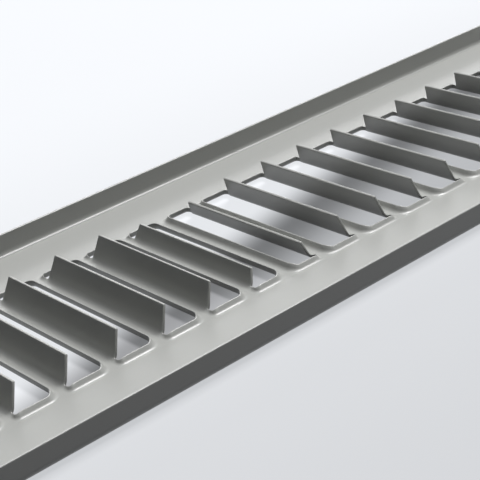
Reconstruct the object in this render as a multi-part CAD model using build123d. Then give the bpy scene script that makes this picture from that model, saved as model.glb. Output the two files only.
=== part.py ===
from build123d import *
import math
import os

# A toe kick register: one strip of thin steel, pierced, formed and folded.
# It lies on its smooth front face. X runs along the strip, Y across it, and Z points to the back,
# where the louvres and the two folded edges stand up. The origin is the middle of the front face.
# All lengths are in millimetres and all angles in degrees.

# The strip
LENGTH = 320.0
WIDTH = 80.0
SHEET = 0.7
FLANGE_HEIGHT = 5.9
FLANGE_INSIDE_RADIUS = 1.2

# The row of louvres: two mirrored groups that lean towards the middle of the strip
PITCH = 12.2
LOUVRES_PER_GROUP = 12
FIRST_HINGE = 9.1

# One louvre. A hinge is the line where the fin's outer face would meet the back of the plate.
FIN_LEAN = 20.5
FIN_BEND_RADIUS = 1.7
FIN_FOOT_LENGTH = 40.2
FIN_TOP_LENGTH = 37.7
FIN_HEIGHT = 5.8
MIDDLE_FIN_HEIGHT = 4.0

# The window beside each fin, pierced straight down through the top of its raised rim
WINDOW_LENGTH = 43.4
WINDOW_WIDTH = 8.6
MIDDLE_WINDOW_WIDTH = 7.0
WINDOW_CORNER_RADIUS = 2.4

# The rim: the sheet turned up round the other three sides of the window
RIM_HEIGHT = 1.4
RIM_SLOPE = 52.0
RIM_RUN_OUT = 1.6

# Plan width of the rim, from its foot to its top edge
RIM_WIDTH = RIM_HEIGHT / math.tan(math.radians(RIM_SLOPE))

# How far before the hinge the fin's bend starts
FIN_BEND_START = FIN_BEND_RADIUS * math.tan(math.radians((90 - FIN_LEAN) / 2))


def folded_strip():
    """The plate with its two long edges folded up."""
    outer = Pos(0, FLANGE_HEIGHT / 2) * Rectangle(WIDTH, FLANGE_HEIGHT)
    outer = fillet(outer.vertices().sort_by(Axis.Y)[:2], FLANGE_INSIDE_RADIUS + SHEET)
    inner = Pos(0, SHEET + FLANGE_HEIGHT / 2) * Rectangle(WIDTH - 2 * SHEET, FLANGE_HEIGHT)
    inner = fillet(inner.vertices().sort_by(Axis.Y)[:2], FLANGE_INSIDE_RADIUS)
    section = Plane.YZ * (outer - inner)
    return extrude(section, LENGTH / 2, both=True)


def window_outline(width):
    """Where the flat plate ends round one louvre: the feet of the fin's bend and of the rim."""
    left = -FIN_BEND_START
    right = width + RIM_WIDTH
    half = WINDOW_LENGTH / 2 + RIM_WIDTH
    plan = Pos((left + right) / 2, 0) * Rectangle(right - left, 2 * half)
    free_corners = plan.vertices().sort_by(Axis.X)[-2:]
    return fillet(free_corners, WINDOW_CORNER_RADIUS + RIM_WIDTH)


def fin_section(height):
    """The section of a fin: the sheet bends up from the plate and runs on straight to its top edge."""
    turn = 90 - FIN_LEAN
    bend_rise = FIN_BEND_RADIUS * (1 - math.cos(math.radians(turn)))
    blade_length = (height - bend_rise) / math.sin(math.radians(turn))
    blade = Vector(blade_length, 0).rotate(Axis.Z, turn)
    centre = Vector(-FIN_BEND_START, SHEET + FIN_BEND_RADIUS)

    def on_bend(radius, angle):
        return centre + Vector(0, -radius).rotate(Axis.Z, angle)

    outside = FIN_BEND_RADIUS + SHEET
    inner_arc = ThreePointArc(*(on_bend(FIN_BEND_RADIUS, angle) for angle in (0, turn / 2, turn)))
    outer_arc = ThreePointArc(*(on_bend(outside, angle) for angle in (0, turn / 2, turn)))
    inner_edge = Line(inner_arc @ 1, inner_arc @ 1 + blade)
    outer_edge = Line(outer_arc @ 1, outer_arc @ 1 + blade)
    root = Line(inner_arc @ 0, outer_arc @ 0)
    top = Line(inner_edge @ 1, outer_edge @ 1)
    return make_face([inner_arc, inner_edge, top, outer_edge, outer_arc, root])


def fin(height):
    """The blade, bent up from the hinge side of its window and cut to a trapezoid."""
    blade = extrude(Plane.XZ * fin_section(height), FIN_FOOT_LENGTH / 2, both=True)
    top = SHEET + height
    trapezoid = make_face(
        Polyline(
            (-FIN_FOOT_LENGTH / 2, 0),
            (FIN_FOOT_LENGTH / 2, 0),
            (FIN_TOP_LENGTH / 2, top),
            (-FIN_TOP_LENGTH / 2, top),
            close=True,
        )
    )
    return blade & extrude(Plane.YZ * trapezoid, 2 * PITCH, both=True)


def rim_section():
    """The section of the rim, with its foot at the origin and the window to the right."""
    slope = Vector(RIM_WIDTH, RIM_HEIGHT)
    upright_cut = Vector(0, -SHEET / math.cos(math.radians(RIM_SLOPE)))
    foot = Vector(0, SHEET)
    top = foot + slope
    under_foot = Vector(SHEET * math.tan(math.radians(RIM_SLOPE / 2)), 0)
    return make_face(Polyline((0, 0), foot, top, top + upright_cut, under_foot, close=True))


def rim(width):
    """The raised rim: along one end of the window, its free side and the other end."""
    corner_x = width - WINDOW_CORNER_RADIUS
    corner_y = WINDOW_LENGTH / 2 - WINDOW_CORNER_RADIUS
    foot_x = width + RIM_WIDTH
    foot_y = WINDOW_LENGTH / 2 + RIM_WIDTH

    side_plane = Plane(origin=(foot_x, 0, 0), x_dir=(-1, 0, 0), z_dir=(0, 1, 0))
    side = extrude(side_plane * rim_section(), corner_y, both=True)

    end_plane = Plane(origin=(corner_x, -foot_y, 0), x_dir=(0, 1, 0), z_dir=(1, 0, 0))
    end_section = end_plane * rim_section()
    end = extrude(end_section, -(corner_x + FIN_BEND_START))
    corner = revolve(end_section, Axis((corner_x, -corner_y, 0), (0, 0, 1)), 90)

    half_rim = (end + corner) - run_out()
    return side + half_rim + mirror(half_rim, Plane.XZ)


def run_out():
    """What is taken off a rim where it dies away beside the foot of the fin."""
    wedge = make_face(
        Polyline(
            (-2 * FIN_BEND_START, SHEET),
            (-FIN_BEND_START, SHEET),
            (RIM_RUN_OUT, SHEET + RIM_HEIGHT),
            (RIM_RUN_OUT, 2 * RIM_HEIGHT + SHEET),
            (-2 * FIN_BEND_START, 2 * RIM_HEIGHT + SHEET),
            close=True,
        )
    )
    return extrude(Plane.XZ * wedge, WINDOW_LENGTH)


def louvre_row():
    """Plan outlines to pierce and formed pieces to add, for both groups of louvres."""
    outlines = []
    formed = []
    for number in range(LOUVRES_PER_GROUP):
        in_middle = number == 0
        width = MIDDLE_WINDOW_WIDTH if in_middle else WINDOW_WIDTH
        height = MIDDLE_FIN_HEIGHT if in_middle else FIN_HEIGHT
        hinge = Pos(-FIRST_HINGE - number * PITCH, 0, 0)
        for piece, pieces in (
            (window_outline(width), outlines),
            (fin(height), formed),
            (rim(width), formed),
        ):
            placed = hinge * piece
            pieces.append(placed)
            pieces.append(mirror(placed, Plane.YZ))
    return outlines, formed


def register_plate():
    """The whole register, one folded sheet."""
    outlines, formed = louvre_row()
    pierced = folded_strip() - [extrude(outline, SHEET) for outline in outlines]
    return pierced.fuse(*formed)


os.makedirs("parts", exist_ok=True)
export_step(register_plate(), "parts/register_plate.step")
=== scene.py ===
import math

import bmesh
import bpy
from mathutils import Matrix, Vector


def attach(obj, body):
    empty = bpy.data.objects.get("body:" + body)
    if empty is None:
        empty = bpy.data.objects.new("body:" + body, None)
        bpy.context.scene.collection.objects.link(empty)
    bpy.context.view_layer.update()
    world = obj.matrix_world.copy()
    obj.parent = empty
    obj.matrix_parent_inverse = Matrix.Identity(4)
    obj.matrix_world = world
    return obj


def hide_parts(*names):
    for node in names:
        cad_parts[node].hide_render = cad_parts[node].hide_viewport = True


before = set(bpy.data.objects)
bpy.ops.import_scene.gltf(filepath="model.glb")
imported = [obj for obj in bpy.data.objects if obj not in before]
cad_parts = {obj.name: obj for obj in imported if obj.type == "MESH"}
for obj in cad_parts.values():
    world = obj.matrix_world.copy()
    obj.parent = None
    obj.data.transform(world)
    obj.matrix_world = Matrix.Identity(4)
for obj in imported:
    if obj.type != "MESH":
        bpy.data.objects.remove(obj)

# The toe kick register's folded sheet is drawn here again in more detail than in the solid:
# the bend at the foot of each rim, the curl of the rim beside the fin, and the eased cut edges.
# Its back surface is drawn first, from the window outlines up their bends, and is then thickened
# towards the front. The drawing is in millimetres, in the same frame as the solid, and is turned
# into metres at the end.

# The strip
LENGTH = 320.0
WIDTH = 80.0
SHEET = 0.7
FLANGE_HEIGHT = 5.9
FLANGE_BEND = 1.2

# The row of louvres: two mirrored groups that lean towards the middle of the strip
PITCH = 12.2
LOUVRES_PER_GROUP = 12
FIRST_HINGE = 9.1

# A fin. Its hinge is the line where its face, run straight down, would meet the plate.
FIN_LEAN = 20.5
FIN_BEND = 1.7
FIN_HALF_FOOT = 20.0
FIN_HALF_TOP = 18.85
FIN_HEIGHT = 5.8
MIDDLE_FIN_HEIGHT = 4.0

# The window, and the rim round its two ends and its free side, where the rim is higher
WINDOW_LENGTH = 43.4
WINDOW_WIDTH = 8.6
MIDDLE_WINDOW_WIDTH = 7.0
WINDOW_CORNER = 2.0
RIM_HEIGHT = 1.5
RIM_SLOPE = 57.0
RIM_BEND = 1.0
SIDE_RIM_HEIGHT = 2.0
SIDE_RIM_SLOPE = 62.0
SIDE_RIM_BEND = 1.4

# The curl, where the rim turns into the foot of the fin: its round in plan, how far up the sheet
# its cut edge is, and how far along the outline it takes for the fin's bend to tighten into the
# rim's bend, and for the rim to rise to its full height
CURL_CORNER = 1.8
CURL_TRAVEL = 1.4
CURL_TIGHTENS = 1.0
CURL_RISES = 5.4

# Where the outline gets more points for the curl: this far past the side of the fin, and this
# far past the hinge
POINTS_PAST_FIN = (0.0, 0.4, 0.8, 1.2)
POINTS_PAST_HINGE = (1.0, 1.5)

# The rounds on the cut edges: on the nose of a rim, there beside the fin, and everywhere else
NOSE_ROUND = 0.17
CURL_ROUND = 0.06
EDGE_ROUND = 0.24

# How many rows of faces each form gets. A rim's rows are its bend and slope, then its nose.
RIM_ROWS = 6
NOSE_ROWS = 3
FIN_BEND_ROWS = 6
BLADE_ROWS = 3
FLANGE_BEND_ROWS = 8
WINDOW_CORNER_ROWS = 12
EDGE_ROWS = 3

# The most that a rim's bend takes of the way up to its nose
BEND_SHARE = 0.8

# How often the search for the front end of a cut halves its range
HALVINGS = 20

# Places nearer than this are the same, and faces that turn more than this meet in a cut edge
TOUCHING = 0.001
SHARP_TURN = math.radians(60)

# How much the large flat faces count in the shading of a bend, where 50 is even
FLAT_FACES_COUNT = 60

METRES = 0.001

FIN_TURN = math.radians(90 - FIN_LEAN)
FIN_BEND_START = FIN_BEND * math.tan(FIN_TURN / 2)
RIM_TURN = math.radians(RIM_SLOPE)
SIDE_RIM_TURN = math.radians(SIDE_RIM_SLOPE)


def up_the_rim(height, turn, bend):
    """How far a rim runs up the sheet, and how far it reaches in plan."""
    flat = (height - bend * (1 - math.cos(turn))) / math.sin(turn)
    return bend * turn + flat, bend * math.sin(turn) + flat * math.cos(turn)


RIM_TRAVEL, RIM_REACH = up_the_rim(RIM_HEIGHT, RIM_TURN, RIM_BEND)
SIDE_RIM_TRAVEL, SIDE_RIM_REACH = up_the_rim(SIDE_RIM_HEIGHT, SIDE_RIM_TURN, SIDE_RIM_BEND)

# A window's outline in plan, where its bends start, with its hinge at x = 0
OUTLINE_LEFT = -FIN_BEND_START
OUTLINE_HALF = WINDOW_LENGTH / 2 + RIM_REACH
OUTLINE_CORNER = WINDOW_CORNER + RIM_REACH


def mixed(start, end, share):
    """A value that lies this share of the way from start to end."""
    return start + (end - start) * share


def softly_mixed(start, end, share):
    """The same, but leaving start and reaching end softly, and never past them."""
    share = min(max(share, 0.0), 1.0)
    return mixed(start, end, share * share * (3 - 2 * share))


# The folded sheet

class Marks:
    """What each point of the sheet remembers: where its bend starts and how the bend runs."""

    def __init__(self, sheet):
        vectors = sheet.verts.layers.float_vector
        numbers = sheet.verts.layers.float
        self.foot = vectors.new("foot")
        self.towards = vectors.new("towards")
        self.across = vectors.new("across")
        self.radius = numbers.new("radius")
        self.turn = numbers.new("turn")
        self.travel = numbers.new("travel")
        self.taper = numbers.new("taper")
        self.nose = numbers.new("nose")


def start_bend(vertex, marks, towards, radius, turn, travel, taper=0.0, nose=0.0):
    """Note on a point of the flat sheet how the sheet bends up from there."""
    vertex[marks.foot] = vertex.co
    vertex[marks.towards] = towards
    vertex[marks.across] = (0, 0, SHEET)
    vertex[marks.radius] = radius
    vertex[marks.turn] = turn
    vertex[marks.travel] = travel
    vertex[marks.taper] = taper
    vertex[marks.nose] = nose


def on_back(vertex, marks, travel):
    """The place this far up the sheet from the start of its bend, and the way square to it."""
    radius = vertex[marks.radius]
    angle = min(travel / radius, vertex[marks.turn])
    straight = travel - radius * angle
    reach = radius * math.sin(angle) + straight * math.cos(angle)
    rise = radius * (1 - math.cos(angle)) + straight * math.sin(angle)
    foot = vertex[marks.foot]
    towards = vertex[marks.towards]
    place = foot + towards * reach + Vector((0, 0, rise))
    place.y -= math.copysign(vertex[marks.taper] * rise, foot.y)
    return place, Vector((0, 0, math.cos(angle))) - towards * math.sin(angle)


def place_on_bend(vertex, marks, travel):
    """Put a point this far up the sheet from the start of its bend."""
    vertex.co, square = on_back(vertex, marks, travel)
    vertex[marks.across] = square * SHEET


def place_on_rim(vertex, marks, row):
    """Put a point on one of the rows of a rim: up its slope, then round the nose at its cut edge."""
    travel = vertex[marks.travel]
    nose = vertex[marks.nose]
    rows = RIM_ROWS + NOSE_ROWS
    if not nose:
        place_on_bend(vertex, marks, travel * row / rows)
        return
    towards = vertex[marks.towards]
    slope = min(travel / vertex[marks.radius], vertex[marks.turn])
    slope_end = travel - nose / math.tan((math.pi / 2 - slope) / 2)
    end_place, square = on_back(vertex, marks, slope_end)
    centre = end_place - square * nose
    if row <= RIM_ROWS:
        bend = min(vertex[marks.radius] * vertex[marks.turn], BEND_SHARE * slope_end)
        bend_rows = RIM_ROWS - 1
        way = bend * row / bend_rows if row <= bend_rows else slope_end
        place, square = on_back(vertex, marks, way)
    else:
        lean = mixed(-slope, math.pi / 2, (row - RIM_ROWS) / NOSE_ROWS)
        place = centre + (towards * math.sin(lean) + Vector((0, 0, math.cos(lean)))) * nose
    vertex.co = place
    front = row / rows * front_end(vertex, marks, (centre - vertex[marks.foot]) @ towards + nose)
    front_place, square = on_back(vertex, marks, front)
    vertex[marks.across] = place - front_place + square * SHEET


def front_end(vertex, marks, reach):
    """How far up the sheet its front side meets the upright cut at this reach."""
    low, high = 0.0, vertex[marks.travel]
    for halving in range(HALVINGS):
        middle = (low + high) / 2
        place, square = on_back(vertex, marks, middle)
        front = place - square * SHEET
        if (front - vertex[marks.foot]) @ vertex[marks.towards] < reach:
            low = middle
        else:
            high = middle
    return low


def turn_up(sheet, marks, edges, place, steps):
    """Carry edges up their bends, with one row of faces for each step. Gives the last edges."""
    for step in steps:
        made = bmesh.ops.extrude_edge_only(sheet, edges=edges)["geom"]
        fresh = {part for part in made if isinstance(part, bmesh.types.BMVert)}
        for vertex in fresh:
            place(vertex, marks, step)
        edges = [
            part
            for part in made
            if isinstance(part, bmesh.types.BMEdge) and fresh.issuperset(part.verts)
        ]
    return edges


def flat_rectangle(sheet, left, right, half):
    """The corners of a rectangle in the back surface of the plate, with one face."""
    corners = bmesh.ops.create_grid(sheet, x_segments=1, y_segments=1, size=0.5)["verts"]
    bmesh.ops.scale(sheet, verts=corners, vec=(right - left, 2 * half, 1))
    bmesh.ops.translate(sheet, verts=corners, vec=((left + right) / 2, 0, SHEET))
    return corners


def round_corners(sheet, corners, radius):
    """Round these corners of a flat face."""
    bmesh.ops.bevel(
        sheet,
        geom=corners,
        offset=radius,
        offset_type="OFFSET",
        segments=WINDOW_CORNER_ROWS,
        profile=0.5,
        affect="VERTICES",
        material=-1,
    )


def window_face(sheet, width):
    """A face with one window's outline."""
    others = set(sheet.faces)
    corners = flat_rectangle(sheet, OUTLINE_LEFT, width + SIDE_RIM_REACH, OUTLINE_HALF)
    hinge_corners = [corner for corner in corners if corner.co.x < 0]
    free_corners = [corner for corner in corners if corner.co.x > 0]
    round_corners(sheet, hinge_corners, CURL_CORNER)
    round_corners(sheet, free_corners, OUTLINE_CORNER)
    window = next(face for face in sheet.faces if face not in others)

    cuts = [
        ((0, side * (FIN_HALF_FOOT + past), 0), (0, 1, 0))
        for past in POINTS_PAST_FIN
        for side in (1, -1)
    ]
    cuts += [((past, 0, 0), (1, 0, 0)) for past in POINTS_PAST_HINGE]
    for place, normal in cuts:
        around = [window, *window.edges, *window.verts]
        cut = bmesh.ops.bisect_plane(sheet, geom=around, plane_co=place, plane_no=normal)
        lines = [part for part in cut["geom_cut"] if isinstance(part, bmesh.types.BMEdge)]
        bmesh.ops.dissolve_edges(sheet, edges=lines, use_verts=False)
        window = next(face for face in sheet.faces if face not in others)
    return window


def way_from_fin(from_left, from_end):
    """How far along the window's outline a point is from the side of the fin."""
    gap = OUTLINE_HALF - FIN_HALF_FOOT
    if from_end >= CURL_CORNER:
        return gap - from_end if from_left < TOUCHING else math.inf
    straight = gap - CURL_CORNER
    if from_left >= CURL_CORNER:
        return straight + CURL_CORNER * math.pi / 2 + from_left - CURL_CORNER
    angle = math.atan2(CURL_CORNER - from_end, CURL_CORNER - from_left)
    return straight + CURL_CORNER * angle


def start_louvre(outline, marks, width, height):
    """Note on a window's outline how the fin, the curl and the rim bend up from it."""
    right = width + SIDE_RIM_REACH
    for vertex in outline:
        x, y, z = vertex.co
        corner = CURL_CORNER if x < width / 2 else OUTLINE_CORNER
        core = Vector((
            min(max(x, OUTLINE_LEFT + CURL_CORNER), right - OUTLINE_CORNER),
            min(max(y, corner - OUTLINE_HALF), OUTLINE_HALF - corner),
            z,
        ))
        way = way_from_fin(x - OUTLINE_LEFT, OUTLINE_HALF - abs(y))
        tighten = softly_mixed(0, 1, way / CURL_TIGHTENS)
        rise = softly_mixed(0, 1, way / CURL_RISES)
        towards = (core - vertex.co).normalized()
        side = softly_mixed(0, 1, -towards.x) if x > width / 2 else 0.0
        at_fin = x < OUTLINE_LEFT + TOUCHING and way < TOUCHING
        full_travel = mixed(RIM_TRAVEL, SIDE_RIM_TRAVEL, side)
        start_bend(
            vertex,
            marks,
            towards=towards,
            radius=mixed(FIN_BEND, mixed(RIM_BEND, SIDE_RIM_BEND, side), tighten),
            turn=FIN_TURN if at_fin else mixed(RIM_TURN, SIDE_RIM_TURN, side),
            travel=mixed(CURL_TRAVEL, full_travel, rise),
            taper=(FIN_HALF_FOOT - FIN_HALF_TOP) / height if at_fin else 0.0,
            nose=0.0 if at_fin else mixed(CURL_ROUND, NOSE_ROUND, rise),
        )


def louvre(sheet, marks, hinge, width, height):
    """One louvre of the left group: the raised rim, its curl at the hinge, and the bent fin."""
    window = window_face(sheet, width)
    outline = list(window.verts)
    feet = list(window.edges)
    bmesh.ops.delete(sheet, geom=[window], context="FACES_ONLY")
    start_louvre(outline, marks, width, height)

    rim_rows = range(1, RIM_ROWS + NOSE_ROWS + 1)
    cut_edge = turn_up(sheet, marks, feet, place_on_rim, rim_rows)

    fin_edge = [edge for edge in cut_edge if all(vertex[marks.taper] > 0 for vertex in edge.verts)]
    bend = FIN_BEND * FIN_TURN
    blade = (height - FIN_BEND * (1 - math.cos(FIN_TURN))) / math.sin(FIN_TURN)
    ways = [mixed(CURL_TRAVEL, bend, row / FIN_BEND_ROWS) for row in range(1, FIN_BEND_ROWS + 1)]
    ways += [bend + blade * row / BLADE_ROWS for row in range(1, BLADE_ROWS + 1)]
    turn_up(sheet, marks, fin_edge, place_on_bend, ways)

    bmesh.ops.translate(sheet, verts=connected(outline), vec=(-hinge, 0, 0))


def connected(start):
    """All the points that hang together with these."""
    found = set(start)
    waiting = list(start)
    while waiting:
        vertex = waiting.pop()
        for edge in vertex.link_edges:
            other = edge.other_vert(vertex)
            if other not in found:
                found.add(other)
                waiting.append(other)
    return list(found)


def lies_flat(edge):
    """Whether an edge lies in the back surface of the flat strip."""
    return all(abs(vertex.co.z - SHEET) < TOUCHING for vertex in edge.verts)


def flanges_and_plate(sheet, marks):
    """Fold up the two long edges and fill the flat of the strip round the windows."""
    feet = [edge for edge in sheet.edges if edge.is_boundary and lies_flat(edge)]
    inner_width = WIDTH - 2 * (SHEET + FLANGE_BEND)
    corners = flat_rectangle(sheet, -LENGTH / 2, LENGTH / 2, inner_width / 2)
    face = corners[0].link_faces[0]
    sides = list(face.edges)
    bmesh.ops.delete(sheet, geom=[face], context="FACES_ONLY")

    turn = math.pi / 2
    bend = FLANGE_BEND * turn
    upright = FLANGE_HEIGHT - SHEET - FLANGE_BEND
    for vertex in corners:
        outwards = Vector((0, math.copysign(1, vertex.co.y), 0))
        start_bend(vertex, marks, outwards, FLANGE_BEND, turn, bend + upright)
    long_edges = [edge for edge in sides if edge.calc_length() > WIDTH]
    ways = [bend * row / FLANGE_BEND_ROWS for row in range(1, FLANGE_BEND_ROWS + 1)]
    turn_up(sheet, marks, long_edges, place_on_bend, [*ways, bend + upright])
    bmesh.ops.triangle_fill(sheet, edges=feet + sides, use_beauty=True, normal=(0, 0, 1))


def thicken(sheet, marks):
    """Give the drawn back surface the thickness of the sheet, measured square to it."""
    made = bmesh.ops.extrude_face_region(sheet, geom=sheet.faces[:], use_keep_orig=True)["geom"]
    for part in made:
        if isinstance(part, bmesh.types.BMVert):
            part.co -= part[marks.across]
    bmesh.ops.recalc_face_normals(sheet, faces=sheet.faces)


def ease_cut_edges(sheet, marks):
    """Round the cut edges of the fins, the folds and the two ends."""
    sharp = [
        edge
        for edge in sheet.edges
        if edge.is_manifold
        and edge.calc_face_angle() > SHARP_TURN
        and not any(vertex[marks.nose] for vertex in edge.verts)
    ]
    bmesh.ops.bevel(
        sheet,
        geom=sharp,
        offset=EDGE_ROUND,
        offset_type="OFFSET",
        segments=EDGE_ROWS,
        profile=0.5,
        affect="EDGES",
        clamp_overlap=False,
        material=-1,
    )


def folded_sheet():
    """The whole register as one mesh."""
    sheet = bmesh.new()
    marks = Marks(sheet)
    for number in range(LOUVRES_PER_GROUP):
        in_middle = number == 0
        louvre(
            sheet,
            marks,
            hinge=FIRST_HINGE + number * PITCH,
            width=MIDDLE_WINDOW_WIDTH if in_middle else WINDOW_WIDTH,
            height=MIDDLE_FIN_HEIGHT if in_middle else FIN_HEIGHT,
        )
    bmesh.ops.mirror(sheet, geom=sheet.verts[:] + sheet.edges[:] + sheet.faces[:], axis="X")
    for vertex in sheet.verts:
        if vertex.co.x > 0:
            vertex[marks.across] = vertex[marks.across] * Vector((-1, 1, 1))
    flanges_and_plate(sheet, marks)
    thicken(sheet, marks)
    ease_cut_edges(sheet, marks)
    bmesh.ops.scale(sheet, verts=sheet.verts, vec=(METRES, METRES, METRES))
    for face in sheet.faces:
        face.smooth = True
    mesh = bpy.data.meshes.new("folded_sheet")
    sheet.to_mesh(mesh)
    sheet.free()
    for name in vars(marks):
        mesh.attributes.remove(mesh.attributes[name])
    piece = bpy.data.objects.new("folded_sheet", mesh)
    bpy.context.scene.collection.objects.link(piece)
    even = piece.modifiers.new("flat faces shade flat", "WEIGHTED_NORMAL")
    even.mode = "FACE_AREA"
    even.weight = FLAT_FACES_COUNT
    return piece


# Finishes

class Value:
    """A socket that can be used in sums. Each sum adds its Math node."""

    def __init__(self, finish, socket):
        self.finish = finish
        self.socket = socket

    def sum(self, operation, first, second):
        return self.finish.node("ShaderNodeMath", {"operation": operation}, {0: first, 1: second})

    def __add__(self, other):
        return self.sum("ADD", self, other)

    def __radd__(self, other):
        return self.sum("ADD", other, self)

    def __sub__(self, other):
        return self.sum("SUBTRACT", self, other)

    def __rsub__(self, other):
        return self.sum("SUBTRACT", other, self)

    def __mul__(self, other):
        return self.sum("MULTIPLY", self, other)

    def __rmul__(self, other):
        return self.sum("MULTIPLY", other, self)


class Finish:
    """The nodes of one material, or of the world."""

    def __init__(self, owner):
        owner.use_nodes = True
        self.owner = owner
        self.tree = owner.node_tree
        self.tree.nodes.clear()

    def node(self, kind, settings, sockets, output=0):
        """Add a node with its settings, and with values or links in its sockets."""
        made = self.tree.nodes.new(kind)
        for name, value in settings.items():
            setattr(made, name, value)
        for name, value in sockets.items():
            if isinstance(value, Value):
                self.tree.links.new(value.socket, made.inputs[name])
            else:
                made.inputs[name].default_value = value
        return Value(self, made.outputs[output]) if made.outputs else None

    def colour_between(self, share, first, second):
        """A colour this share of the way from the first to the second, from a Mix node. Its
        sockets 6 and 7 and its output 2 are the ones for colours."""
        return self.node(
            "ShaderNodeMix", {"data_type": "RGBA"}, {0: share, 6: first, 7: second}, output=2
        )

    def seen(self):
        """1 for the rays that show the surface: to the camera, and in gloss and glass."""
        camera_ray = self.node("ShaderNodeLightPath", {}, {}, output="Is Camera Ray")
        glossy_ray = self.node("ShaderNodeLightPath", {}, {}, output="Is Glossy Ray")
        glass_ray = self.node("ShaderNodeLightPath", {}, {}, output="Is Transmission Ray")
        return self.node("ShaderNodeClamp", {}, {"Value": camera_ray + glossy_ray + glass_ray})

    def ready(self, surface, kind="ShaderNodeOutputMaterial"):
        """The material or the world, once its surface is settled."""
        self.node(kind, {}, {"Surface": surface})
        return self.owner


# The satin coat: the two tones of its flake, how many flakes and soft clouds there are to a
# metre, and how rough it is, at least and with either of them
COAT_DARK = (0.374, 0.379, 0.363, 1)
COAT_LIGHT = (0.404, 0.409, 0.393, 1)
FLAKES = 5000
CLOUDS = 60
COAT_ROUGHNESS = 0.3
ROUGHER = 0.04


def satin_coat():
    """A satin grey coat, even all over, with the faint grain of sprayed flake."""
    coat = Finish(bpy.data.materials.new("satin_coat"))
    place = coat.node("ShaderNodeTexCoord", {}, {}, output="Object")
    flake = coat.node(
        "ShaderNodeTexNoise", {}, {"Vector": place, "Scale": FLAKES, "Detail": 2, "Roughness": 0.6}
    )
    cloud = coat.node("ShaderNodeTexNoise", {}, {"Vector": place, "Scale": CLOUDS, "Detail": 3})
    bump = coat.node(
        "ShaderNodeBump", {}, {"Strength": 0.05, "Distance": 0.00002, "Height": flake}
    )
    surface = coat.node(
        "ShaderNodeBsdfPrincipled",
        {},
        {
            "Base Color": coat.colour_between(flake, COAT_DARK, COAT_LIGHT),
            "Metallic": 0.0,
            "Roughness": COAT_ROUGHNESS + ROUGHER * cloud + ROUGHER * flake,
            "Specular IOR Level": 0.55,
            "Normal": bump,
        },
    )
    return coat.ready(surface)


# The studio. From here on, all lengths are in metres.

# The floor lies this far below the strip, against flicker
FLOOR_DEPTH = 0.0004
FLOOR_REACH = 6
FLOOR_TONE = (0.145, 0.145, 0.15, 1)

# What the floor glows with, how much of it before the strip and behind it, and how far from the
# strip's middle the one has gone over into the other
GLOW_COLOUR = (0.94, 0.965, 1.0, 1)
NEAR_GLOW = 0.525
FAR_GLOW = 0.79
GLOW_SETTLES = 0.12

# The soft shade painted into the floor's glow, seen through the windows: where its middle is and how
# it slants to the strip, how far it is soft to the near and the far side, how much glows in it and
# how much more on its two sides, and how much of the floor it keeps to
SHADE_MIDDLE = -0.0077
SHADE_SLANT = 0.245
SHADE_SOFT_NEAR = 0.018
SHADE_SOFT_FAR = 0.014
SHADE_GLOW = 0.19
SHADE_TO_NEAR = 0.33
SHADE_TO_FAR = 0.64
SHADE_HALF_LENGTH = 0.157
SHADE_HALF_WIDTH = 0.03

# The room's dark for the light on the strip, and its pale tone where it is seen
ROOM_DARK = (0.02, 0.0205, 0.022, 1)
ROOM_PALE = (0.62, 0.635, 0.66, 1)

LAMP_DISTANCE = 2.4

# The photograph's viewpoint, with the tilt that it was held at. Angles are in degrees, and the
# lens and its film in millimetres.
CAMERA_PLACE = (-0.17637, -0.2217, 0.13745)
CAMERA_AZIMUTH = -39.43
CAMERA_ELEVATION = 25.54
CAMERA_TILT = -6.914
CAMERA_LENS = 105.2
FILM_WIDTH = 36


def pale_floor():
    """A plain pale floor. It glows softly to the camera, and in gloss and glass, which stands for
    the light tent round it: less in front than behind, and least in a soft shade under the strip,
    which is painted into the glow. The glow adds no light to the strip, beyond its reflection in the
    coat's gloss. The floor is clear from below, to show the underside."""
    floor = Finish(bpy.data.materials.new("pale_floor"))
    place = floor.node("ShaderNodeTexCoord", {}, {}, output="Object")
    along = floor.node("ShaderNodeSeparateXYZ", {}, {"Vector": place}, output="X")
    across = floor.node("ShaderNodeSeparateXYZ", {}, {"Vector": place}, output="Y")

    def ramp(way, start, end):
        return floor.node(
            "ShaderNodeMapRange",
            {"interpolation_type": "SMOOTHSTEP"},
            {"Value": way, "From Min": start, "From Max": end},
        )

    def within(way, limit):
        size = floor.node("ShaderNodeMath", {"operation": "ABSOLUTE"}, {0: way})
        return floor.node("ShaderNodeMath", {"operation": "LESS_THAN"}, {0: size, 1: limit})

    # Painted shade: under the strip the glow drops to a slanted soft band, which stands for the
    # strip's shadow on the floor
    under = within(along, SHADE_HALF_LENGTH) * within(across, SHADE_HALF_WIDTH)
    way = across - SHADE_SLANT * along
    before = ramp(way, SHADE_MIDDLE, SHADE_MIDDLE - SHADE_SOFT_NEAR)
    behind = ramp(way, SHADE_MIDDLE, SHADE_MIDDLE + SHADE_SOFT_FAR)
    shaded = SHADE_GLOW + SHADE_TO_NEAR * before + SHADE_TO_FAR * behind
    to_far = ramp(across, -GLOW_SETTLES, GLOW_SETTLES)
    open_floor = NEAR_GLOW + (FAR_GLOW - NEAR_GLOW) * to_far
    glow = under * shaded + (1 - under) * open_floor
    matt = floor.node(
        "ShaderNodeBsdfPrincipled",
        {},
        {
            "Base Color": FLOOR_TONE,
            "Roughness": 0.9,
            "Specular IOR Level": 0.1,
            "Emission Color": floor.colour_between(floor.seen() * glow, (0, 0, 0, 1), GLOW_COLOUR),
            "Emission Strength": 1.0,
        },
    )
    clear = floor.node("ShaderNodeBsdfTransparent", {}, {})
    from_below = floor.node("ShaderNodeNewGeometry", {}, {}, output="Backfacing")
    return floor.ready(floor.node("ShaderNodeMixShader", {}, {0: from_below, 1: matt, 2: clear}))


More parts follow.
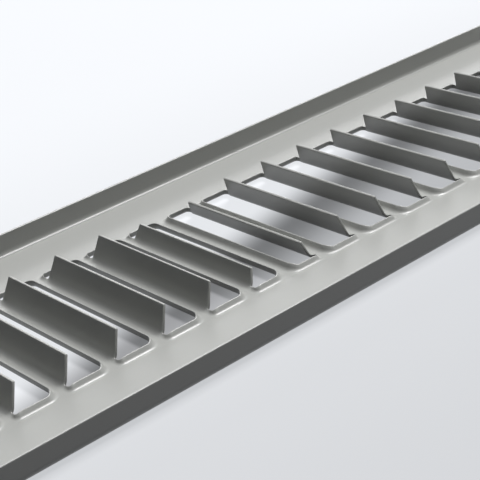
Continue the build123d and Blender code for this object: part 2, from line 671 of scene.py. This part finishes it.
def studio_floor():
    """The level floor that the strip lies on."""
    level = bmesh.new()
    bmesh.ops.create_grid(level, x_segments=8, y_segments=8, size=FLOOR_REACH)
    bmesh.ops.translate(level, verts=level.verts, vec=(0, 0, -FLOOR_DEPTH))
    mesh = bpy.data.meshes.new("studio_floor")
    level.to_mesh(mesh)
    level.free()
    mesh.materials.append(pale_floor())
    floor = bpy.data.objects.new("studio_floor", mesh)
    bpy.context.scene.collection.objects.link(floor)


def stand(holder, place, right, top, back):
    """Put a lamp or the camera in its place, with its back to the last of its directions."""
    turn = Matrix((right, top, back)).transposed().to_4x4()
    holder.matrix_world = Matrix.Translation(place) @ turn
    bpy.context.scene.collection.objects.link(holder)


def soft_lamp(name, direction, size, radiance):
    """An even soft lamp that looks at the strip. Its first size runs along the strip."""
    lamp = bpy.data.lights.new(name, "AREA")
    lamp.shape = "RECTANGLE"
    lamp.size, lamp.size_y = size
    lamp.energy = radiance * math.pi * size[0] * size[1]
    away = Vector(direction).normalized()
    across = away.cross(Vector((1, 0, 0))).normalized()
    holder = bpy.data.objects.new(name, lamp)
    holder.visible_camera = False
    stand(holder, away * LAMP_DISTANCE, across.cross(away), across, away)


def studio_light():
    """A key lamp overhead, a low white card behind for the sheen, and the room."""
    world = Finish(bpy.data.worlds.new("studio"))
    tone = world.colour_between(world.seen(), ROOM_DARK, ROOM_PALE)
    background = world.node("ShaderNodeBackground", {}, {"Color": tone})
    bpy.context.scene.world = world.ready(background, "ShaderNodeOutputWorld")
    soft_lamp("key", direction=(0.46, 0.05, 0.88), size=(0.8, 1.3), radiance=23.2)
    soft_lamp("card", direction=(0.6, 0.75, 0.26), size=(2.4, 0.55), radiance=3.3)


def camera():
    """The camera at the photograph's viewpoint."""
    azimuth = math.radians(CAMERA_AZIMUTH)
    elevation = math.radians(CAMERA_ELEVATION)
    tilt = math.radians(CAMERA_TILT)
    back = Vector((
        math.sin(azimuth) * math.cos(elevation),
        -math.cos(azimuth) * math.cos(elevation),
        math.sin(elevation),
    ))
    side = Vector((math.cos(azimuth), math.sin(azimuth), 0))
    up = back.cross(side)
    right = side * math.cos(tilt) + up * math.sin(tilt)
    top = up * math.cos(tilt) - side * math.sin(tilt)
    lens = bpy.data.cameras.new("camera")
    lens.sensor_width = FILM_WIDTH
    lens.lens = CAMERA_LENS
    lens.clip_start = 0.01
    lens.clip_end = 50
    holder = bpy.data.objects.new("camera", lens)
    stand(holder, CAMERA_PLACE, right, top, back)
    bpy.context.scene.camera = holder


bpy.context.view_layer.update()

register = folded_sheet()
register.data.materials.append(satin_coat())
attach(register, "root")
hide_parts("register_plate")
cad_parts["register_plate"].data.materials.clear()
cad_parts["register_plate"].data.materials.append(register.data.materials[0])

studio_floor()
studio_light()
camera()
bpy.context.scene.view_settings.view_transform = "Standard"
